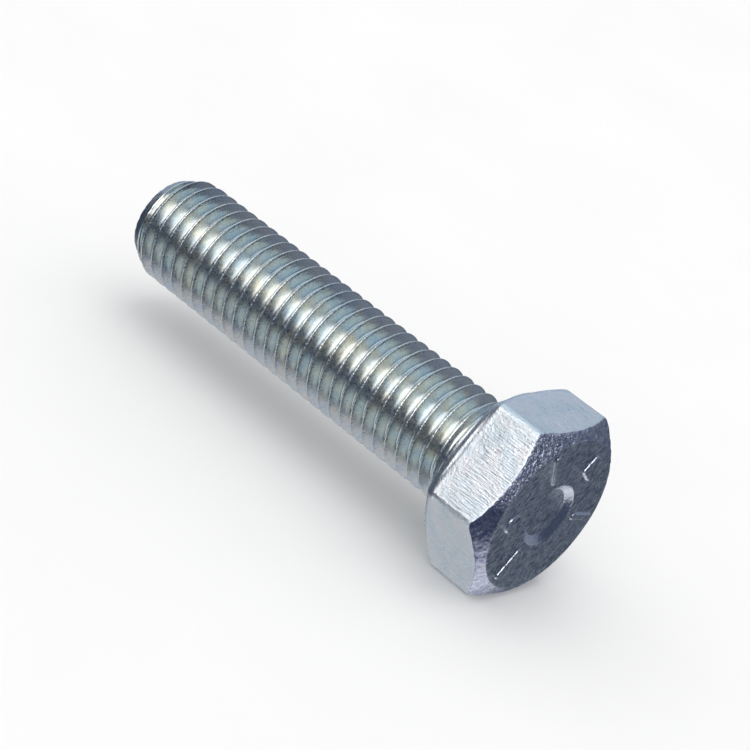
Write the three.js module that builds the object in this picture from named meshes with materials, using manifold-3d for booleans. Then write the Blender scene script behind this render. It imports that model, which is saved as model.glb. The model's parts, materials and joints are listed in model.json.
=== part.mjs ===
// A fully threaded hexagon-head bolt, 5/16 inch by 1 1/4 inch, with a fine right-hand thread.
//
// The bolt is one steel forging with a rolled thread. It is laid out here in its two functional
// sections, the head and the threaded shank, which meet face to face at the end of the plain neck
// and are one rigid piece.
//
// Frame, in millimetres: the origin is the centre of the flat end face of the threaded tip. +X runs
// along the bolt's axis from the tip to the head. +Z is up, square to a wrench flat, so the bolt lies
// on its side with a wrench flat underneath.
import * as THREE from 'three';
import * as BufferGeometryUtils from 'three/addons/utils/BufferGeometryUtils.js';
import Module from 'manifold-3d';

const MM_PER_INCH = 25.4;
const DEGREE = Math.PI / 180;

// Thread: 24 turns to the inch, unified form with 60 degrees between its flanks.
const PITCH = MM_PER_INCH / 24;
const MAJOR_RADIUS = 3.91;
const THREAD_DEPTH = 0.595 * PITCH;
const CREST_WIDTH = PITCH / 8;
const FLANK_ANGLE = 30 * DEGREE;
const THREAD_START_ANGLE = 37 * DEGREE;

// Lengths along the axis.
const SHANK_LENGTH = 1.25 * MM_PER_INCH;
const NECK_LENGTH = 0.9;
const RUNOUT_LENGTH = 1.0;
const POINT_LENGTH = 1.5;
const WASHER_FACE_THICKNESS = 0.25;
const HEX_HEIGHT = 5.12;

// Radii across the axis.
const POINT_RADIUS = 3.1;
const NECK_RADIUS = 3.62;
const NECK_FILLET_RADIUS = 0.45;
const WASHER_FACE_RADIUS = 5.85;
const TOP_FACE_RADIUS = 5.62;

// Hexagon.
const ACROSS_FLATS = 12.5;
const CORNER_RADIUS = 0.6;
const BACK_BEVEL = 0.3;
const CHAMFER_ANGLE = 33 * DEGREE;

// Marks struck on the top face: a round recess, three radial dashes and two plain pips.
const RECESS = { rimRadius: 2.3, floorRadius: 1.8, depth: 0.4 };
const MARK_HEIGHT = 0.16;
const MARK_ROOT = 0.4;
const MARK_DRAFT = 0.1;
const DASH = { length: 2.4, width: 0.5, middleRadius: 4.05, angles: [113, -12, -126] };
const SQUARE_PIP = { size: 1.5, radius: 4.15, angle: 50 };
const ROUND_PIP = { diameter: 1.3, radius: 3.95, angle: 178 };

// Facets.
const THREAD_SEGMENTS = 24;
const ROUND_SEGMENTS = 48;
const ARC_SEGMENTS = 4;

const BEARING_X = SHANK_LENGTH;
const HEX_BACK_X = BEARING_X + WASHER_FACE_THICKNESS;
const TOP_X = HEX_BACK_X + HEX_HEIGHT;
const NECK_END_X = BEARING_X - NECK_LENGTH;

const manifold = await Module();
manifold.setup();

// Every shape is drawn with the bolt's axis along its own +Z, then turned so that the axis is +X.
const AXIS_TO_X = new THREE.Matrix4().makeBasis(
  new THREE.Vector3(0, 1, 0),
  new THREE.Vector3(0, 0, 1),
  new THREE.Vector3(1, 0, 0),
);

function solidFrom(geometry) {
  const bare = geometry.clone();
  bare.deleteAttribute('normal');
  bare.deleteAttribute('uv');
  const merged = BufferGeometryUtils.mergeVertices(bare, 1e-5);
  return new manifold.Manifold(new manifold.Mesh({
    numProp: 3,
    vertProperties: new Float32Array(merged.attributes.position.array),
    triVerts: new Uint32Array(merged.index.array),
  }));
}

function geometryFrom(solid) {
  const mesh = solid.getMesh();
  const geometry = new THREE.BufferGeometry();
  geometry.setAttribute('position', new THREE.BufferAttribute(mesh.vertProperties, 3));
  geometry.setIndex(new THREE.BufferAttribute(mesh.triVerts, 1));
  geometry.computeVertexNormals();
  return geometry.applyMatrix4(AXIS_TO_X);
}

// A solid of revolution about the axis, from [radius, axial position] pairs that start and end on it.
function turned(profile) {
  const points = profile.map(([radius, axial]) => new THREE.Vector2(radius, axial));
  const geometry = new THREE.LatheGeometry(points, ROUND_SEGMENTS);
  return solidFrom(geometry.rotateX(Math.PI / 2));
}

// The quarter circle between the neck and the bearing face, from the neck outwards.
function neckFillet() {
  const middle = [NECK_RADIUS + NECK_FILLET_RADIUS, BEARING_X - NECK_FILLET_RADIUS];
  const points = [];
  for (let step = 0; step <= ARC_SEGMENTS; step += 1) {
    const angle = Math.PI - (Math.PI / 2) * (step / ARC_SEGMENTS);
    points.push([
      middle[0] + NECK_FILLET_RADIUS * Math.cos(angle),
      middle[1] + NECK_FILLET_RADIUS * Math.sin(angle),
    ]);
  }
  return points;
}

// The hexagon with its corners rounded, two of its flats square to the second drawing axis.
function hexagonShape() {
  const shape = new THREE.Shape();
  const arcCentreRadius = (ACROSS_FLATS / 2 - CORNER_RADIUS) / Math.cos(30 * DEGREE);
  for (let corner = 0; corner < 6; corner += 1) {
    const angle = corner * 60 * DEGREE;
    shape.absarc(
      arcCentreRadius * Math.cos(angle),
      arcCentreRadius * Math.sin(angle),
      CORNER_RADIUS,
      angle - 30 * DEGREE,
      angle + 30 * DEGREE,
      false,
    );
  }
  shape.closePath();
  return shape;
}

function hexagonPrism() {
  const spare = 1;
  const geometry = new THREE.ExtrudeGeometry(hexagonShape(), {
    depth: HEX_HEIGHT + spare - BACK_BEVEL,
    curveSegments: ARC_SEGMENTS,
    bevelEnabled: true,
    bevelSegments: 1,
    bevelSize: BACK_BEVEL,
    bevelThickness: BACK_BEVEL,
    bevelOffset: -BACK_BEVEL,
  });
  return solidFrom(geometry.translate(0, 0, HEX_BACK_X + BACK_BEVEL));
}

// The cone that cuts the hexagon's top corners back to the round top face.
function chamferEnvelope() {
  const outerRadius = ACROSS_FLATS;
  const drop = (outerRadius - TOP_FACE_RADIUS) * Math.tan(CHAMFER_ANGLE);
  return turned([
    [0, BEARING_X],
    [outerRadius, BEARING_X],
    [outerRadius, TOP_X - drop],
    [TOP_FACE_RADIUS, TOP_X],
    [0, TOP_X],
  ]);
}

function neckAndWasherFace() {
  const embedded = HEX_BACK_X + 1;
  return turned([
    [0, NECK_END_X],
    [NECK_RADIUS, NECK_END_X],
    ...neckFillet(),
    [WASHER_FACE_RADIUS, BEARING_X],
    [WASHER_FACE_RADIUS, embedded],
    [0, embedded],
  ]);
}

function recessTool() {
  const clear = 1;
  const slope = (RECESS.rimRadius - RECESS.floorRadius) / RECESS.depth;
  return turned([
    [0, TOP_X - RECESS.depth],
    [RECESS.floorRadius, TOP_X - RECESS.depth],
    [RECESS.rimRadius + slope * clear, TOP_X + clear],
    [0, TOP_X + clear],
  ]);
}

function roundedRectangle(length, width) {
  const radius = width / 2;
  const straight = length / 2 - radius;
  const shape = new THREE.Shape();
  shape.absarc(straight, 0, radius, -Math.PI / 2, Math.PI / 2, false);
  shape.absarc(-straight, 0, radius, Math.PI / 2, (3 * Math.PI) / 2, false);
  shape.closePath();
  return shape;
}

function squareShape(size) {
  const half = size / 2;
  return new THREE.Shape([
    new THREE.Vector2(-half, -half),
    new THREE.Vector2(half, -half),
    new THREE.Vector2(half, half),
    new THREE.Vector2(-half, half),
  ]);
}

function discShape(diameter) {
  return new THREE.Shape().absarc(0, 0, diameter / 2, 0, 2 * Math.PI, false);
}

// A raised mark with sloping sides, rooted in the head, placed by its polar position on the top face.
function raisedMark(shape, radius, angle) {
  const geometry = new THREE.ExtrudeGeometry(shape, {
    depth: MARK_ROOT,
    curveSegments: 2 * ARC_SEGMENTS,
    bevelEnabled: true,
    bevelSegments: 1,
    bevelSize: MARK_DRAFT,
    bevelThickness: MARK_HEIGHT,
    bevelOffset: -MARK_DRAFT,
  });
  geometry.translate(radius, 0, TOP_X - MARK_ROOT);
  return solidFrom(geometry.rotateZ(angle * DEGREE));
}

function topMarks() {
  const dash = roundedRectangle(DASH.length, DASH.width);
  return [
    ...DASH.angles.map((angle) => raisedMark(dash, DASH.middleRadius, angle)),
    raisedMark(squareShape(SQUARE_PIP.size), SQUARE_PIP.radius, SQUARE_PIP.angle),
    raisedMark(discShape(ROUND_PIP.diameter), ROUND_PIP.radius, ROUND_PIP.angle),
  ];
}

function hexHead() {
  let head = hexagonPrism().intersect(chamferEnvelope());
  head = head.add(neckAndWasherFace()).subtract(recessTool());
  for (const mark of topMarks()) {
    head = head.add(mark);
  }
  return geometryFrom(head);
}

// One pitch of the thread form as [axial offset, radius] pairs, from the start of its crest.
function threadForm() {
  const flank = THREAD_DEPTH * Math.tan(FLANK_ANGLE);
  const rootRadius = MAJOR_RADIUS - THREAD_DEPTH;
  return [
    [0, MAJOR_RADIUS],
    [CREST_WIDTH, MAJOR_RADIUS],
    [CREST_WIDTH + flank, rootRadius],
    [PITCH - flank, rootRadius],
  ];
}

// The thread fades to the neck's radius over the run-out.
function fadedRadius(radius, axial) {
  const share = THREE.MathUtils.clamp((NECK_END_X - axial) / RUNOUT_LENGTH, 0, 1);
  return NECK_RADIUS + (radius - NECK_RADIUS) * share;
}

// A right-hand screw surface, longer than the shank at both ends and closed by a fan at each.
// Level m of column c lies m steps of the form along the axis, plus the column's share of a pitch,
// so the last column's level m is the first column's level one pitch on.
function screwSolid() {
  const form = threadForm();
  const spareTurns = 2;
  const turns = Math.ceil(SHANK_LENGTH / PITCH) + 2 * spareTurns;
  const levels = turns * form.length;
  const stride = levels + form.length + 1;
  const positions = [];
  for (let column = 0; column < THREAD_SEGMENTS; column += 1) {
    const share = column / THREAD_SEGMENTS;
    const angle = THREAD_START_ANGLE + share * 2 * Math.PI;
    for (let level = 0; level < stride; level += 1) {
      const turn = Math.floor(level / form.length) - spareTurns + share;
      const [offset, radius] = form[level % form.length];
      const axial = turn * PITCH + offset;
      const faded = fadedRadius(radius, axial);
      positions.push(faded * Math.cos(angle), faded * Math.sin(angle), axial);
    }
  }
  const vertex = (column, level) => (
    column < THREAD_SEGMENTS ? column * stride + level : level + form.length
  );
  const triangles = [];
  const fan = (apex, loop) => loop.forEach((start, index) => {
    triangles.push(apex, start, loop[(index + 1) % loop.length]);
  });
  const lower = [];
  const upper = [];
  for (let column = 0; column < THREAD_SEGMENTS; column += 1) {
    for (let level = 0; level < levels; level += 1) {
      const corners = [
        vertex(column, level),
        vertex(column + 1, level),
        vertex(column + 1, level + 1),
        vertex(column, level + 1),
      ];
      triangles.push(corners[0], corners[1], corners[2], corners[0], corners[2], corners[3]);
    }
    lower.push(vertex(column, 0));
    upper.push(vertex(column, levels));
  }
  for (let step = form.length; step > 0; step -= 1) {
    lower.push(vertex(0, step));
    upper.push(vertex(0, levels + step));
  }
  const lowerApex = positions.length / 3;
  positions.push(0, 0, (0.5 - spareTurns) * PITCH);
  const upperApex = positions.length / 3;
  positions.push(0, 0, (turns - spareTurns + 0.5) * PITCH);
  fan(lowerApex, lower.reverse());
  fan(upperApex, upper);
  const geometry = new THREE.BufferGeometry();
  geometry.setAttribute('position', new THREE.Float32BufferAttribute(positions, 3));
  geometry.setIndex(triangles);
  return solidFrom(geometry);
}

// The rolled blank's outline: the pointed tip, the full diameter and the flat at the neck's end.
function shankEnvelope() {
  const clear = 0.1;
  const slope = (MAJOR_RADIUS - POINT_RADIUS) / POINT_LENGTH;
  const outerRadius = MAJOR_RADIUS + clear;
  return turned([
    [0, 0],
    [POINT_RADIUS, 0],
    [outerRadius, POINT_LENGTH + clear / slope],
    [outerRadius, NECK_END_X],
    [0, NECK_END_X],
  ]);
}

function threadedShank() {
  return geometryFrom(screwSolid().intersect(shankEnvelope()));
}

function named(name, geometry, material) {
  const mesh = new THREE.Mesh(geometry, material);
  mesh.name = name;
  return mesh;
}

const bolt = new THREE.Group();
bolt.add(named('hex_head', hexHead(), new THREE.MeshStandardMaterial({
  color: 0xb4bcc6,
  roughness: 0.38,
  metalness: 0.95,
})));
bolt.add(named('threaded_shank', threadedShank(), new THREE.MeshStandardMaterial({
  color: 0xa3b1b3,
  roughness: 0.26,
  metalness: 0.95,
})));

export default bolt;
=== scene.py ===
import json
import math

import bmesh
import bpy
import numpy as np
from mathutils import Matrix, Vector, noise


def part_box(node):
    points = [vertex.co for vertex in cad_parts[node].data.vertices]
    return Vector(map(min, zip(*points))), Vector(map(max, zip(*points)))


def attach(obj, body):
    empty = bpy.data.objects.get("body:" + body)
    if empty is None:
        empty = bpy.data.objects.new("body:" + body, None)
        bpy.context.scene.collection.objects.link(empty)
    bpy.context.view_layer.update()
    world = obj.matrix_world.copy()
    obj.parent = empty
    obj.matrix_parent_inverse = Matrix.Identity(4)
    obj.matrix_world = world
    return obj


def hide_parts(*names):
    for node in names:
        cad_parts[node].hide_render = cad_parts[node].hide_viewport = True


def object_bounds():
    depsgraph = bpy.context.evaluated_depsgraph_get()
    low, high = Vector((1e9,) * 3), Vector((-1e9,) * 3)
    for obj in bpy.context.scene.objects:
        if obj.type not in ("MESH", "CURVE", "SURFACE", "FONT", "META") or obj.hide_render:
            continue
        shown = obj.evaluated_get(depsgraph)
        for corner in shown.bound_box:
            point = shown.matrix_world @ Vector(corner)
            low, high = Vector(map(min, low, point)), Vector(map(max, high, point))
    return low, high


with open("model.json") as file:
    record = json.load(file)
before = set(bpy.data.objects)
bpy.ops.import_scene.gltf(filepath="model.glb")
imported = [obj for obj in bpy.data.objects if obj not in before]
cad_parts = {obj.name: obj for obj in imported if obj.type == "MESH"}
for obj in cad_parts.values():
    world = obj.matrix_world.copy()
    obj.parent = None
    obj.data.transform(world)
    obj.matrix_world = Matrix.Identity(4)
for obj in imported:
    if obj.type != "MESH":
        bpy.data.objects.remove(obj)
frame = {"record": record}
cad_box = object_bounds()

MM = 0.001
DEGREE = math.pi / 180


def mount_position(name):
    """A mount's position in millimetres."""
    for mount in frame["record"]["mounts"]:
        if mount["name"] == name:
            return [value / MM for value in mount["pos_m"]]
    raise KeyError(name)


def high_corner(node):
    """The highest corner of a CAD node's box in millimetres."""
    return [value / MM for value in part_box(node)[1]]


# Stations along the axis and sizes across it, from the CAD model.
BEARING_X = mount_position("bearing_face")[0]
TOP_X = mount_position("top_face")[0]
NECK_END_X = high_corner("threaded_shank")[0]
FLAT_RADIUS = mount_position("wrench_flat")[2]
CORNER_REACH = high_corner("hex_head")[1]
MARK_HEIGHT = high_corner("hex_head")[0] - TOP_X

# The thread.
PITCH = 25.4 / 24
MAJOR_RADIUS = 3.91
THREAD_DEPTH = 0.595 * PITCH
CREST_WIDTH = 0.13
CREST_ROUNDING = 0.05
ROOT_ROUNDING = 0.22
FLANK_ANGLE = 30 * DEGREE
CREST_START_ANGLE = -8 * DEGREE
POINT_RADIUS = 3.1
POINT_LENGTH = 1.5
POINT_SOFTNESS = 0.12
POINT_WEAR = 0.08
POINT_WEAR_LENGTH = 2.4
NICK_DEPTH = 0.028
NECK_RADIUS = 3.62
RUNOUT_LENGTH = 1.15
THREAD_COLUMNS = 130
SPARE_TURNS = 2
FOLD_LENGTH = 0.95 * PITCH

# The head.
WASHER_FACE_RADIUS = 5.85
WASHER_FACE_THICKNESS = 0.25
HEX_BACK_X = BEARING_X + WASHER_FACE_THICKNESS
NECK_FILLET = 0.45
TOP_FACE_RADIUS = 5.62
CHAMFER_ANGLE = 33 * DEGREE
CORNER_ROUNDING = 0.6
INSIDE_FLATS_RADIUS = 5.4
TRIMMING_GROOVE_X = HEX_BACK_X + 0.55
TRIMMING_GROOVE_WIDTH = 0.11
TRIMMING_GROOVE_DEPTH = 0.03
HAMMERED_DEPTH = 0.036
HAMMERED_LOW_Z = 1.2
HAMMERED_HIGH_Z = 2.6
RECESS_RIM_RADIUS = 2.3
RECESS_FLOOR_RADIUS = 1.8
RECESS_DEPTH = 0.4
DASH_LENGTH = 2.4
DASH_WIDTH = 0.5
DASH_MIDDLE_RADIUS = 4.05
DASH_ANGLES = (113, -12, -126)
MARK_STEPS = 96
SQUARE_PIP = {"size": 1.5, "radius": 4.15, "angle": 50}
ROUND_PIP = {"size": 1.3, "radius": 3.95, "angle": 178}

# The view, an orbit round the bolt's middle. Azimuth 0 looks along +Y. Degrees, and then metres.
VIEW_AZIMUTH = 32.74
VIEW_ELEVATION = 25.34
VIEW_ROLL = 22.47
VIEW_DISTANCE = 0.17642
VIEW_AIM = Vector((0.00169, 0.00095, -0.00023))
LENS_MM = 126.73

# The studio as the metal sees it: a dark blue room with round panels of light. A panel is its azimuth
# from +X towards +Y, its elevation, the half angles where it starts and has finished fading, and its
# colour.
ROOM = (0.05, 0.065, 0.105)
PANELS = [
    (-83, 43, 22, 35, (2.35, 2.35, 2.42)),  # key, over the camera's left
    (-130, 43, 9, 24, (0.95, 0.99, 0.98)),  # its left end
    (120, 72, 20, 36, (0.42, 0.58, 0.72)),  # overhead, cold
    (172, 48, 16, 32, (0.5, 0.5, 0.45)),  # behind the tip
    (140, 6, 20, 38, (0.28, 0.33, 0.42)),  # behind the tip, low
    (112, 34, 12, 28, (0.31, 0.33, 0.36)),  # far side
    (150, -70, 26, 42, (0.46, 0.47, 0.48)),  # table
    (-105, -42, 16, 32, (0.69, 0.76, 0.78)),  # near side of the table
    (36, -55, 17, 30, (0.5, 0.5, 0.53)),  # table under the head
    (57, -25, 14, 40, (0.07, 0.08, 0.08)),  # table beyond the head
    (70, 8, 16, 36, (0.12, 0.13, 0.16)),  # far wall
]
DOME_STRENGTH = 1.06
FLOOR_HALF_SIZE = 6.0
SOFTBOX_SIZE = 0.5
SOFTBOX_HEIGHT = 0.6
SOFTBOX_WATTS = 0.35


# ---------------------------------------------------------------- mesh helpers

def make_mesh(name, points, faces):
    """A smooth-shaded piece from points in millimetres and its faces, riding on the bolt's one body."""
    mesh = bpy.data.meshes.new(name)
    mesh.from_pydata((np.asarray(points) * MM).tolist(), [], faces)
    mesh.validate()
    mesh.shade_smooth()
    piece = bpy.data.objects.new(name, mesh)
    bpy.context.scene.collection.objects.link(piece)
    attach(piece, "root")
    return piece


def about_axis(axial, radius, angle):
    """Points from their places along the bolt's axis, radii about it and angles round it."""
    return np.stack([axial, radius * np.cos(angle), radius * np.sin(angle)], axis=1)


def fan_faces(first, count, hub):
    """Triangles between a closed ring of points, numbered from first, and a hub."""
    return [(first + step, first + (step + 1) % count, hub) for step in range(count)]


def grid_faces(rows, columns):
    """Quads between the rows of a grid whose columns close on themselves."""
    faces = []
    for row in range(rows - 1):
        for column in range(columns):
            after = (column + 1) % columns
            faces.append((
                row * columns + column,
                row * columns + after,
                (row + 1) * columns + after,
                (row + 1) * columns + column,
            ))
    return faces


def rounded_path(corners, roundings, arc_steps, run_steps):
    """Points along a polyline whose inner corners are rounded.

    Every corner is an array of shape (columns, 2), so that one path is worked out for each column.
    roundings, one for each corner, is how far from it its curve starts. run_steps, one for each
    run between corners, is how many steps the straight stretch has.
    """
    starts, ends = [corners[0]], [corners[0]]
    for before, corner, after, size in zip(corners, corners[1:], corners[2:], roundings[1:-1]):
        back = before - corner
        on = after - corner
        back_length = np.linalg.norm(back, axis=1, keepdims=True)
        on_length = np.linalg.norm(on, axis=1, keepdims=True)
        starts.append(corner + back * np.minimum(size / back_length, 0.48))
        ends.append(corner + on * np.minimum(size / on_length, 0.48))
    starts.append(corners[-1])
    ends.append(corners[-1])
    path = [corners[0]]
    for index in range(1, len(corners)):
        for step in range(1, run_steps[index - 1] + 1):
            share = step / run_steps[index - 1]
            path.append(ends[index - 1] * (1 - share) + starts[index] * share)
        if index == len(corners) - 1 or roundings[index] == 0:
            continue
        for step in range(1, arc_steps + 1):
            share = step / arc_steps
            path.append(
                starts[index] * (1 - share) ** 2
                + 2 * corners[index] * share * (1 - share)
                + ends[index] * share ** 2
            )
    return path


def smoothstep(low, high, value):
    """An even rise from 0 at low to 1 at high, flat beyond both."""
    share = np.clip((value - low) / (high - low), 0, 1)
    return share * share * (3 - 2 * share)


def bumps(points, scale, seed):
    """Smooth noise from -1 to 1 at points in millimetres, with features about scale across."""
    offset = Vector((seed * 17.3, seed * 5.1, -seed * 9.7))
    return np.array([noise.noise(Vector(point) / scale + offset) for point in points])


# ---------------------------------------------------------------- threaded shank

def thread_form():
    """One pitch of the thread as axial offsets and radii, from one root's middle to the next."""
    root_radius = MAJOR_RADIUS - THREAD_DEPTH
    crest_edge = CREST_WIDTH / 2
    root_edge = crest_edge + THREAD_DEPTH * math.tan(FLANK_ANGLE)
    corners = [
        (-PITCH / 2, root_radius),
        (-root_edge, root_radius),
        (-crest_edge, MAJOR_RADIUS),
        (crest_edge, MAJOR_RADIUS),
        (root_edge, root_radius),
        (PITCH / 2, root_radius),
    ]
    path = rounded_path(
        [np.array([corner]) for corner in corners],
        [0, ROOT_ROUNDING, CREST_ROUNDING, CREST_ROUNDING, ROOT_ROUNDING, 0],
        arc_steps=4,
        run_steps=[1, 2, 2, 2, 1],
    )
    return np.array([point[0] for point in path])[:-1]


def threaded_shank():
    """The screw surface as one continuous helical grid, cut flat at both ends."""
    form = thread_form()
    levels_per_turn = len(form)
    turns = math.ceil(NECK_END_X / PITCH) + 2 * SPARE_TURNS
    levels = turns * levels_per_turn
    stride = levels + levels_per_turn + 1
    share = np.repeat(np.arange(THREAD_COLUMNS) / THREAD_COLUMNS, stride)
    level = np.tile(np.arange(stride), THREAD_COLUMNS)
    turn = level // levels_per_turn - SPARE_TURNS + share
    axial = turn * PITCH + form[level % levels_per_turn, 0]
    full_radius = form[level % levels_per_turn, 1]
    angle = CREST_START_ANGLE + share * 2 * math.pi

    radius = coned(axial, run_out(axial, full_radius))
    crest = smoothstep(MAJOR_RADIUS - 0.25, MAJOR_RADIUS - 0.02, full_radius)
    radius = worn(about_axis(axial, radius, angle), radius, crest)
    points = about_axis(axial, radius, angle)
    faces = screw_faces(stride, levels, levels_per_turn)
    piece = make_mesh("threaded_shank_rolled", points, faces)
    cut_ends(piece)
    return piece


def run_out(axial, radius):
    """The thread dying away at the neck, where the rolling dies let go of the blank."""
    kept = smoothstep(0, 1, (NECK_END_X - axial) / RUNOUT_LENGTH)
    return NECK_RADIUS + (radius - NECK_RADIUS) * kept


def coned(axial, radius):
    """The thread held under the cone of the point, with a softened edge between them."""
    cone = POINT_RADIUS + (MAJOR_RADIUS - POINT_RADIUS) * axial / POINT_LENGTH
    blend = np.clip(0.5 + 0.5 * (radius - cone) / POINT_SOFTNESS, 0, 1)
    return radius + (cone - radius) * blend - POINT_SOFTNESS * blend * (1 - blend) * 0.5


def worn(points, radius, crest):
    """The radii with nicks along the crests, a dented point and a faint waviness everywhere."""
    fine = bumps(points, 0.16, 1)
    coarse = bumps(points, 0.9, 2)
    nicks = NICK_DEPTH * smoothstep(0.25, 0.6, fine) * smoothstep(-0.1, 0.5, coarse) * crest
    dents = bumps(points, 0.45, 6) + 0.5 * bumps(points, 0.2, 10)
    point_wear = POINT_WEAR * (1 - smoothstep(0.6, POINT_WEAR_LENGTH, points[:, 0])) * dents
    return radius - nicks + 0.004 * coarse - 0.003 - np.abs(point_wear)


def screw_faces(stride, levels, levels_per_turn):
    """Quads between neighbouring columns; the last column meets the first one a turn further on."""
    faces = []
    for column in range(THREAD_COLUMNS):
        base = column * stride
        after = base + stride
        if column == THREAD_COLUMNS - 1:
            after = levels_per_turn
        for low in range(levels):
            faces.append((base + low, base + low + 1, after + low + 1, after + low))
    return faces


def cut_ends(piece):
    """Cuts the shank flat just inside the head's neck and folds its first turn into the tip's end."""
    mesh = bmesh.new()
    mesh.from_mesh(piece.data)
    cuts = [
        # place, outward direction, whether what lies outside goes
        (0.0, -1, False),
        (-FOLD_LENGTH, -1, True),
        (NECK_END_X, 1, True),
    ]
    for place, outward, cleared in cuts:
        everything = mesh.verts[:] + mesh.edges[:] + mesh.faces[:]
        cut = bmesh.ops.bisect_plane(
            mesh,
            geom=everything,
            plane_co=(place * MM, 0, 0),
            plane_no=(outward, 0, 0),
            clear_outer=cleared,
        )
        if cleared:
            rim = [item for item in cut["geom_cut"] if isinstance(item, bmesh.types.BMEdge)]
            bmesh.ops.holes_fill(mesh, edges=rim, sides=0)
    fold_into_end(mesh)
    bmesh.ops.recalc_face_normals(mesh, faces=mesh.faces[:])
    mesh.to_mesh(piece.data)
    mesh.free()
    piece.data.shade_smooth()


def fold_into_end(mesh):
    """Draws the turn that lies before the tip in towards the axis, where it becomes the end face."""
    drawn_in = 0.97
    for vertex in mesh.verts:
        share = -vertex.co.x / (FOLD_LENGTH * MM)
        if share > 0.0001:
            vertex.co.y *= 1 - drawn_in * share
            vertex.co.z *= 1 - drawn_in * share
            vertex.co.x = tip_end_depth(vertex.co / MM, share) * MM


def tip_end_depth(point, share):
    """How deep the sheared end face lies at a share of the way from its rim to its middle."""
    across = Vector((0, point.y, point.z))
    rough = 0.5 + 0.5 * noise.noise(across / 0.8) + 0.12 * noise.noise(across / 0.25)
    inside = min(share / 0.12, 1)
    return inside * (0.04 + 0.03 * max(rough, 0)) + 0.04 * share


# ---------------------------------------------------------------- head

def hexagon_columns(per_flat, per_corner):
    """Angles round the axis and the hexagon's radius at each, with extra columns at the corners."""
    arc_centre = (FLAT_RADIUS - CORNER_ROUNDING) / math.cos(30 * DEGREE)
    half_flat = arc_centre * math.sin(30 * DEGREE)
    angles, radii = [], []
    for side in range(6):
        corner_angle = side * 60 * DEGREE
        for step in range(per_corner):
            swing = (-30 + 60 * (step + 0.5) / per_corner) * DEGREE
            x = arc_centre + CORNER_ROUNDING * math.cos(swing)
            y = CORNER_ROUNDING * math.sin(swing)
            angles.append(corner_angle + math.atan2(y, x))
            radii.append(math.hypot(x, y))
        for step in range(per_flat + 1):
            along = half_flat * (2 * step / per_flat - 1)
            angles.append(corner_angle + 30 * DEGREE + math.atan2(along, FLAT_RADIUS))
            radii.append(math.hypot(along, FLAT_RADIUS))
    return np.array(angles), np.array(radii)


def pairs(axial, radius, count):
    """An (axial, radius) corner for each column."""
    return np.stack([np.broadcast_to(axial, count), np.broadcast_to(radius, count)], axis=1)


def hex_head():
    """The head as rings from the neck over the hexagon to the recess, each one a hexagon or a circle."""
    angles, reach = hexagon_columns(per_flat=80, per_corner=14)
    count = len(angles)
    cornerness = (reach - FLAT_RADIUS) / (CORNER_REACH - FLAT_RADIUS)
    slope = math.tan(CHAMFER_ANGLE)
    ring = about_axis(np.full(count, TOP_X), reach, angles)
    edge_x = TOP_X - (reach - TOP_FACE_RADIUS) * slope + 0.035 * bumps(ring, 0.6, 7)
    bevel_across = 0.26 + 0.3 * cornerness
    bevel_along = 0.3 + 0.32 * cornerness
    stations = [
        # axial place, radius, rounding, steps to the next corner
        (NECK_END_X - 0.02, NECK_RADIUS, 0, 3),
        (BEARING_X, NECK_RADIUS, NECK_FILLET, 6),
        (BEARING_X, WASHER_FACE_RADIUS, 0.06, 2),
        (HEX_BACK_X, WASHER_FACE_RADIUS, 0.04, 4),
        (HEX_BACK_X, reach - bevel_across, 0.16, 3),
        (HEX_BACK_X + bevel_along, reach, 0.2, 36),
        (edge_x, reach, 0.15, 24),
        (TOP_X, TOP_FACE_RADIUS, 0.16, 24),
        (TOP_X, RECESS_RIM_RADIUS, 0.1, 8),
        (TOP_X - RECESS_DEPTH, RECESS_FLOOR_RADIUS, 0.1, 8),
        (TOP_X - RECESS_DEPTH, 0.12, 0, 0),
    ]
    corners = [pairs(place, radius, count) for place, radius, *_ in stations]
    roundings = [station[2] for station in stations]
    run_steps = [station[3] for station in stations[:-1]]
    path = rounded_path(corners, roundings, arc_steps=6, run_steps=run_steps)
    rows = len(path)
    axial = np.concatenate([row[:, 0] for row in path])
    radius = np.concatenate([row[:, 1] for row in path])
    points = forged(about_axis(axial, radius, np.tile(angles, rows)), radius)
    hub = (TOP_X - RECESS_DEPTH, 0, 0)
    points = np.vstack([points, [hub]])
    faces = grid_faces(rows, count) + fan_faces((rows - 1) * count, count, rows * count)
    piece = make_mesh("hex_head_forged", points, faces)
    finish_head_faces(piece)
    return piece


def forged(points, radius):
    """Unevenness of a forged and trimmed head: waves, a trimming groove and a hammered chamfer."""
    axial = points[:, 0]
    on_head = axial > HEX_BACK_X + 0.05
    wave = bumps(points, 2.2, 3) - 0.6
    ripple = bumps(points, 0.7, 4) - 0.6
    groove = np.exp(-((axial - TRIMMING_GROOVE_X) / TRIMMING_GROOVE_WIDTH) ** 2)
    groove *= TRIMMING_GROOVE_DEPTH * smoothstep(6.0, 6.2, radius)
    shift = (0.02 * wave + 0.007 * ripple) * on_head - groove
    moved = points.copy()
    moved[:, 1] *= 1 + shift / radius
    moved[:, 2] *= 1 + shift / radius
    beyond_top = smoothstep(TOP_FACE_RADIUS - 0.1, TOP_FACE_RADIUS + 0.15, radius)
    on_chamfer = beyond_top * smoothstep(HEX_BACK_X + 3.4, HEX_BACK_X + 4.2, axial)
    hammered = bumps(points, 0.3, 8) + 0.6 * bumps(points, 0.15, 9) - 1.0
    hammered *= 0.2 + 0.8 * smoothstep(HAMMERED_LOW_Z, HAMMERED_HIGH_Z, points[:, 2])
    moved[:, 0] += on_head * 0.01 * wave + HAMMERED_DEPTH * hammered * on_chamfer
    return moved


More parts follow.
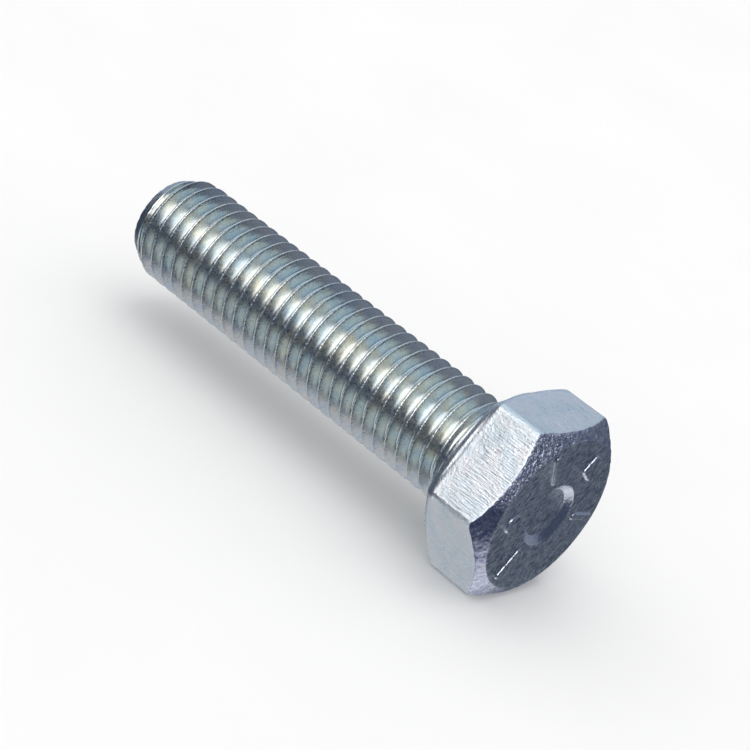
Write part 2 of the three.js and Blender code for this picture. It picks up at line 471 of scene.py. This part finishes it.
def finish_head_faces(piece):
    """Gives each face of the head its finish by where it lies and which way it faces."""
    finishes = [flat_plate(), chamfer_plate(), top_plate(), underside_plate(), mark_plate()]
    flat, chamfer, top, underside, recess_wall = range(len(finishes))
    for material in finishes:
        piece.data.materials.append(material)
    for face in piece.data.polygons:
        steepness = abs(face.normal.x)
        axial = face.center.x / MM
        across = math.hypot(face.center.y, face.center.z) / MM
        if axial < HEX_BACK_X + 0.02:
            face.material_index = underside
        elif across > INSIDE_FLATS_RADIUS and (steepness < 0.3 or face.normal.x < 0):
            face.material_index = flat
        elif face.normal.x > 0 and across > TOP_FACE_RADIUS + 0.02:
            face.material_index = chamfer
        elif steepness < 0.93 and across < RECESS_RIM_RADIUS + 0.1:
            face.material_index = recess_wall
        else:
            face.material_index = top


def mark_outline(kind, length, width):
    """Points round a dash with round ends, a round pip or a square pip with soft corners."""
    points = []
    for step in range(MARK_STEPS):
        turn = 2 * math.pi * step / MARK_STEPS
        x, y = math.cos(turn), math.sin(turn)
        if kind == "dash":
            straight = (length - width) / 2
            points.append((math.copysign(straight, x) + x * width / 2, y * width / 2))
        else:
            power = 2 if kind == "round" else 8
            size = (abs(x) ** power + abs(y) ** power) ** (-1 / power)
            points.append((x * size * length / 2, y * size * width / 2))
    return np.array(points)


def raised_mark(name, kind, length, width, middle_radius, angle):
    """A struck mark: a plateau with rounded shoulders and a flared foot that runs into the face."""
    outline = mark_outline(kind, length, width)
    height = MARK_HEIGHT * 0.95  # The rest leaves room for its unevenness.
    rings = [
        # how far outside the outline, and how high over the top face
        (0.12, -0.03), (0.08, 0.0), (0.045, 0.06 * height), (0.02, 0.2 * height),
        (0.0, 0.45 * height), (-0.018, 0.7 * height), (-0.04, 0.88 * height),
        (-0.075, 0.97 * height), (-0.13, height),
    ]
    rows = []
    for outset, rise in rings:
        ring = outline + outline_normals(outline) * outset
        rows.append(np.column_stack([np.full(MARK_STEPS, TOP_X + rise), ring]))
    centre = np.array([[TOP_X + height, 0, 0]])
    points = np.vstack(rows + [centre])
    turn = angle * DEGREE
    across = points[:, 1] + middle_radius
    along = points[:, 2].copy()
    points[:, 1] = across * math.cos(turn) - along * math.sin(turn)
    points[:, 2] = across * math.sin(turn) + along * math.cos(turn)
    uneven = bumps(points, 0.35, 5)
    points[:, 0] += np.where(points[:, 0] > TOP_X, 0.012 * (uneven - 0.6), 0)
    hub = len(rings) * MARK_STEPS
    faces = grid_faces(len(rings), MARK_STEPS) + fan_faces(hub - MARK_STEPS, MARK_STEPS, hub)
    piece = make_mesh(name, points, faces)
    piece.data.materials.append(mark_plate())
    piece.data.materials.append(top_plate())
    for face in piece.data.polygons:
        face.material_index = int(face.normal.x > 0.93)
    return piece


def outline_normals(outline):
    """Unit outward directions round a closed outline."""
    along = np.roll(outline, -1, axis=0) - np.roll(outline, 1, axis=0)
    outward = np.column_stack([along[:, 1], -along[:, 0]])
    return outward / np.linalg.norm(outward, axis=1, keepdims=True)


# ---------------------------------------------------------------- materials

class Nodes:
    """A node tree with short ways to add and join nodes."""

    def __init__(self, tree):
        self.tree = tree

    def add(self, kind, **settings):
        """A new node with some of its settings."""
        node = self.tree.nodes.new(kind)
        for key, value in settings.items():
            setattr(node, key, value)
        return node

    def join(self, source, target):
        """A link from an output to an input."""
        self.tree.links.new(source, target)


class Surface(Nodes):
    """A material's nodes, with the patterns and finishes that the surfaces of the bolt share."""

    def __init__(self, name):
        self.material = bpy.data.materials.new(name)
        self.material.use_nodes = True
        super().__init__(self.material.node_tree)
        self.shader = self.tree.nodes["Principled BSDF"]
        self.place = self.add("ShaderNodeTexCoord").outputs["Object"]

    def sized(self, sizes, turn=0.0):
        """Object coordinates counted in features of the given sizes in millimetres.

        turn, in degrees, swings the second and third sizes about the bolt's axis.
        """
        node = self.add("ShaderNodeMapping", vector_type="TEXTURE")
        self.join(self.place, node.inputs["Vector"])
        node.inputs["Rotation"].default_value = (turn * DEGREE, 0, 0)
        node.inputs["Scale"].default_value = [size * MM for size in sizes]
        return node.outputs["Vector"]

    def noise(self, sizes, detail=3.0, roughness=0.55, turn=0.0):
        """Noise from 0 to 1 with features of the given sizes in millimetres."""
        node = self.add("ShaderNodeTexNoise")
        self.join(self.sized(sizes, turn), node.inputs["Vector"])
        node.inputs["Scale"].default_value = 1.0
        node.inputs["Detail"].default_value = detail
        node.inputs["Roughness"].default_value = roughness
        return node.outputs["Fac"]

    def along_axis(self, low, high):
        """How far a point is from one station on the bolt's axis to another, from 0 to 1."""
        split = self.add("ShaderNodeSeparateXYZ")
        self.join(self.place, split.inputs["Vector"])
        return self.span(split.outputs["X"], 0, 1, low * MM, high * MM)

    def upwards(self, low, high):
        """How far a point is from one height above the bolt's axis to another, from 0 to 1."""
        split = self.add("ShaderNodeSeparateXYZ")
        self.join(self.place, split.inputs["Vector"])
        return self.span(split.outputs["Z"], 0, 1, low * MM, high * MM)

    def across_axis(self, low, high):
        """How far a point is from one radius about the bolt's axis to another, from 0 to 1."""
        flattened = self.add("ShaderNodeVectorMath", operation="MULTIPLY")
        self.join(self.place, flattened.inputs[0])
        flattened.inputs[1].default_value = (0, 1, 1)
        length = self.add("ShaderNodeVectorMath", operation="LENGTH")
        self.join(flattened.outputs["Vector"], length.inputs[0])
        return self.span(length.outputs["Value"], 0, 1, low * MM, high * MM)

    def times(self, first, second):
        """The product of two values."""
        node = self.add("ShaderNodeMath", operation="MULTIPLY")
        self.join(first, node.inputs[0])
        self.join(second, node.inputs[1])
        return node.outputs["Value"]

    def ramp(self, source, stops):
        """A colour ramp from (position, colour) stops."""
        node = self.add("ShaderNodeValToRGB")
        self.join(source, node.inputs["Fac"])
        elements = node.color_ramp.elements
        while len(elements) < len(stops):
            elements.new(0.5)
        for element, (position, colour) in zip(elements, stops):
            element.position = position
            element.color = (*colour, 1)
        return node.outputs["Color"]

    def specks(self, colour, size, amount):
        """Darkens a colour at scattered small pits; amount is the noise value that they start from."""
        pits = self.ramp(self.noise((size, size, size), detail=2.0), [
            (amount - 0.05, (0.45, 0.43, 0.42)),
            (amount, (1.0, 1.0, 1.0)),
        ])
        node = self.add("ShaderNodeMix", data_type="RGBA", blend_type="MULTIPLY")
        node.inputs["Factor"].default_value = 1.0
        self.join(colour, node.inputs["A"])
        self.join(pits, node.inputs["B"])
        return node.outputs["Result"]

    def span(self, source, low, high, start=0.3, end=0.7):
        """A value turned from the range start to end, which suits a noise, into low to high."""
        node = self.add("ShaderNodeMapRange")
        self.join(source, node.inputs["Value"])
        node.inputs["From Min"].default_value = start
        node.inputs["From Max"].default_value = end
        node.inputs["To Min"].default_value = low
        node.inputs["To Max"].default_value = high
        return node.outputs["Result"]

    def bump(self, source, distance_mm, before=None):
        """A normal bent by a height of so many millimetres, on top of an earlier one if given."""
        node = self.add("ShaderNodeBump")
        self.join(source, node.inputs["Height"])
        node.inputs["Distance"].default_value = distance_mm * MM
        node.inputs["Strength"].default_value = 1.0
        if before is not None:
            self.join(before, node.inputs["Normal"])
        return node.outputs["Normal"]

    def plated(self, colour, roughness, normal):
        """Joins the surface's colour, roughness and normal to the metal shader."""
        self.join(colour, self.shader.inputs["Base Color"])
        self.join(roughness, self.shader.inputs["Roughness"])
        self.join(normal, self.shader.inputs["Normal"])
        self.shader.inputs["Metallic"].default_value = 1.0
        return self.material


def named_once(maker):
    """Makes a material the first time it is asked for and hands the same one out after that."""
    def get():
        found = bpy.data.materials.get(maker.__name__)
        return found or maker(Surface(maker.__name__))
    get.__name__ = maker.__name__
    return get


@named_once
def thread_plate(nodes):
    """Zinc plate over a rolled thread: smooth and faintly straw coloured, with beaded crests."""
    colour = nodes.ramp(nodes.noise((1.7, 1.1, 1.1), detail=3.0), [
        (0.32, (0.58, 0.65, 0.68)),
        (0.5, (0.66, 0.69, 0.67)),
        (0.66, (0.72, 0.71, 0.63)),
    ])
    roughness = nodes.span(nodes.noise((0.3, 0.3, 0.3)), 0.18, 0.32)
    drawn = nodes.bump(nodes.noise((0.1, 0.9, 0.9), detail=2.0), 0.006)
    on_crest = nodes.across_axis(MAJOR_RADIUS - 0.22, MAJOR_RADIUS - 0.02)
    beads = nodes.times(nodes.noise((0.13, 0.13, 0.13), detail=2.0), on_crest)
    beaded = nodes.bump(beads, 0.04, before=drawn)
    return nodes.plated(colour, roughness, beaded)


@named_once
def flat_plate(nodes):
    """Zinc plate over trimmed wrench flats: scored along the axis, and smoother near the back."""
    colour = nodes.ramp(nodes.noise((1.3, 1.3, 1.3), detail=6.0, roughness=0.65), [
        (0.36, (0.72, 0.78, 0.81)),
        (0.5, (0.80, 0.83, 0.84)),
        (0.64, (0.86, 0.84, 0.84)),
    ])
    colour = nodes.specks(colour, 0.13, 0.33)
    roughness = nodes.span(nodes.noise((0.8, 0.2, 0.2)), 0.24, 0.42)
    scored_part = nodes.along_axis(HEX_BACK_X + 1.0, HEX_BACK_X + 2.1)
    scores = nodes.noise((0.9, 0.11, 0.11), detail=3.0, roughness=0.6)
    scored = nodes.bump(nodes.times(scores, scored_part), 0.06)
    pits = nodes.noise((0.16, 0.16, 0.16), detail=4.0, roughness=0.6)
    pitted = nodes.bump(pits, 0.028, before=scored)
    return nodes.plated(colour, roughness, pitted)


@named_once
def chamfer_plate(nodes):
    """Zinc plate over the forged chamfer: hammered on its upper side, so that it glints there."""
    colour = nodes.ramp(nodes.noise((0.3, 0.3, 0.3), detail=4.0), [
        (0.36, (0.46, 0.50, 0.68)),
        (0.5, (0.68, 0.70, 0.82)),
        (0.64, (0.90, 0.90, 0.94)),
    ])
    roughness = nodes.span(nodes.noise((0.2, 0.2, 0.2)), 0.12, 0.28)
    blows = nodes.noise((0.25, 0.25, 0.25), detail=3.0, roughness=0.6)
    uneven = nodes.bump(blows, 0.035)
    upper_blows = nodes.times(blows, nodes.upwards(HAMMERED_LOW_Z, HAMMERED_HIGH_Z))
    return nodes.plated(colour, roughness, nodes.bump(upper_blows, 0.2, before=uneven))


@named_once
def top_plate(nodes):
    """Zinc plate over the struck top face: leathery grain that runs one way, with painted shade in its
    hollows and painted highlights on its ridges.
    """
    grain_with_painted_shade = nodes.noise((0.3, 0.5, 0.14), detail=5.0, roughness=0.7, turn=46.0)
    # The colour follows the grain's height: painted shade, down to dark blue-grey, in its hollows and
    # painted highlights, up to near white, on its ridges.
    colour = nodes.ramp(grain_with_painted_shade, [
        (0.40, (0.26, 0.29, 0.34)),
        (0.50, (0.64, 0.68, 0.74)),
        (0.60, (0.96, 0.97, 0.98)),
    ])
    roughness = nodes.span(nodes.noise((0.4, 0.4, 0.4)), 0.22, 0.36)
    return nodes.plated(colour, roughness, nodes.bump(grain_with_painted_shade, 0.1))


@named_once
def mark_plate(nodes):
    """Zinc plate over the struck marks and the recess wall: pressed smoother, so it shines."""
    colour = nodes.ramp(nodes.noise((0.3, 0.3, 0.3)), [
        (0.3, (0.80, 0.84, 0.92)),
        (0.7, (0.94, 0.95, 0.97)),
    ])
    roughness = nodes.span(nodes.noise((0.2, 0.2, 0.2)), 0.1, 0.24)
    return nodes.plated(colour, roughness, nodes.bump(nodes.noise((0.2, 0.2, 0.2)), 0.035))


@named_once
def underside_plate(nodes):
    """Zinc plate over the washer face and neck."""
    colour = nodes.ramp(nodes.noise((1.2, 1.2, 1.2)), [
        (0.3, (0.62, 0.70, 0.74)),
        (0.7, (0.78, 0.80, 0.80)),
    ])
    roughness = nodes.span(nodes.noise((0.3, 0.3, 0.3)), 0.22, 0.36)
    grained = nodes.bump(nodes.noise((0.15, 0.15, 0.15)), 0.012)
    return nodes.plated(colour, roughness, grained)


def floor_paper():
    """Matt white paper with a barely visible tooth."""
    nodes = Surface("floor_paper")
    colour = nodes.ramp(nodes.noise((20, 20, 20)), [
        (0.3, (0.86, 0.86, 0.86)),
        (0.7, (0.88, 0.88, 0.88)),
    ])
    nodes.join(colour, nodes.shader.inputs["Base Color"])
    nodes.shader.inputs["Roughness"].default_value = 0.9
    nodes.shader.inputs["Specular IOR Level"].default_value = 0.1
    return nodes.material


# ---------------------------------------------------------------- stage, light and camera

def direction(azimuth, elevation):
    """The unit vector at an azimuth from +X towards +Y and an elevation, in degrees."""
    a, e = azimuth * DEGREE, elevation * DEGREE
    return Vector((math.cos(e) * math.cos(a), math.cos(e) * math.sin(a), math.sin(e)))


def cad_middle():
    """The middle of the CAD model's box in metres."""
    return Vector([(low + high) / 2 for low, high in zip(*cad_box)])


def make_floor():
    """A wide pale floor under the bolt."""
    size = FLOOR_HALF_SIZE
    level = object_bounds()[0][2]
    corners = [(-size, -size), (size, -size), (size, size), (-size, size)]
    mesh = bpy.data.meshes.new("floor")
    mesh.from_pydata([(x, y, level) for x, y in corners], [], [(0, 1, 2, 3)])
    floor = bpy.data.objects.new("floor", mesh)
    floor.data.materials.append(floor_paper())
    floor.visible_glossy = False
    bpy.context.scene.collection.objects.link(floor)


def light_panel(nodes, place, azimuth, elevation, full, faded, colour):
    """The light of a round panel that fades at its rim, seen along a direction."""
    dot = nodes.add("ShaderNodeVectorMath", operation="DOT_PRODUCT")
    nodes.join(place, dot.inputs[0])
    dot.inputs[1].default_value = direction(azimuth, elevation)
    span = nodes.add("ShaderNodeMapRange", interpolation_type="SMOOTHSTEP")
    nodes.join(dot.outputs["Value"], span.inputs["Value"])
    span.inputs["From Min"].default_value = math.cos(faded * DEGREE)
    span.inputs["From Max"].default_value = math.cos(full * DEGREE)
    scale = nodes.add("ShaderNodeVectorMath", operation="SCALE")
    scale.inputs[0].default_value = colour
    nodes.join(span.outputs["Result"], scale.inputs["Scale"])
    return scale.outputs["Vector"]


def room_light(nodes):
    """The light of the room and all its panels, added up."""
    place = nodes.add("ShaderNodeTexCoord").outputs["Generated"]
    light = None
    for panel in PANELS:
        total = nodes.add("ShaderNodeVectorMath", operation="ADD")
        if light is None:
            total.inputs[0].default_value = ROOM
        else:
            nodes.join(light, total.inputs[0])
        nodes.join(light_panel(nodes, place, *panel), total.inputs[1])
        light = total.outputs["Vector"]
    return light


def studio_world():
    """A room of light panels that only the metal sees, in a plain white dome for all the rest."""
    world = bpy.data.worlds.new("studio")
    world.use_nodes = True
    world.cycles.sampling_method = "NONE"
    bpy.context.scene.world = world
    world.node_tree.nodes.clear()
    nodes = Nodes(world.node_tree)
    room = nodes.add("ShaderNodeBackground")
    nodes.join(room_light(nodes), room.inputs["Color"])
    dome = nodes.add("ShaderNodeBackground")
    dome.inputs["Color"].default_value = (1, 1, 1, 1)
    dome.inputs["Strength"].default_value = DOME_STRENGTH
    ray = nodes.add("ShaderNodeLightPath")
    choose = nodes.add("ShaderNodeMixShader")
    nodes.join(ray.outputs["Is Glossy Ray"], choose.inputs["Fac"])
    nodes.join(dome.outputs["Background"], choose.inputs[1])
    nodes.join(room.outputs["Background"], choose.inputs[2])
    out = nodes.add("ShaderNodeOutputWorld")
    nodes.join(choose.outputs["Shader"], out.inputs["Surface"])


def floor_light():
    """A weak overhead softbox, for the floor's soft shadow; the metal does not see it."""
    light = bpy.data.lights.new("floor_softbox", "AREA")
    light.shape = "DISK"
    light.size = SOFTBOX_SIZE
    light.energy = SOFTBOX_WATTS
    lamp = bpy.data.objects.new("floor_softbox", light)
    lamp.location = cad_middle() + Vector((0, 0, SOFTBOX_HEIGHT))
    lamp.visible_glossy = False
    bpy.context.scene.collection.objects.link(lamp)


def make_camera():
    """A long lens on an orbit round the bolt, leaned over to the right."""
    a, e = VIEW_AZIMUTH * DEGREE, VIEW_ELEVATION * DEGREE
    forward = Vector((-math.sin(a) * math.cos(e), math.cos(a) * math.cos(e), -math.sin(e)))
    right = Vector((math.cos(a), math.sin(a), 0))
    right.rotate(Matrix.Rotation(-VIEW_ROLL * DEGREE, 3, forward))
    up = right.cross(forward)
    camera = bpy.data.cameras.new("camera")
    camera.lens = LENS_MM
    camera.sensor_width = 36
    camera.clip_start = 0.001
    camera.clip_end = 100
    view = bpy.data.objects.new("camera", camera)
    place = cad_middle() + VIEW_AIM - forward * VIEW_DISTANCE
    turned = Matrix((right, up, -forward)).transposed().to_4x4()
    view.matrix_world = Matrix.Translation(place) @ turned
    bpy.context.scene.collection.objects.link(view)
    bpy.context.scene.camera = view


# ---------------------------------------------------------------- the bolt

make_camera()
studio_world()
floor_light()
make_floor()

shank = threaded_shank()
shank.data.materials.append(thread_plate())
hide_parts("threaded_shank")

head = hex_head()
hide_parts("hex_head")

for number, dash_angle in enumerate(DASH_ANGLES, 1):
    name = f"grade_dash_{number}"
    raised_mark(name, "dash", DASH_LENGTH, DASH_WIDTH, DASH_MIDDLE_RADIUS, dash_angle)
for kind, pip in (("square", SQUARE_PIP), ("round", ROUND_PIP)):
    raised_mark(f"{kind}_pip", kind, pip["size"], pip["size"], pip["radius"], pip["angle"])

bpy.context.scene.view_settings.view_transform = "Standard"
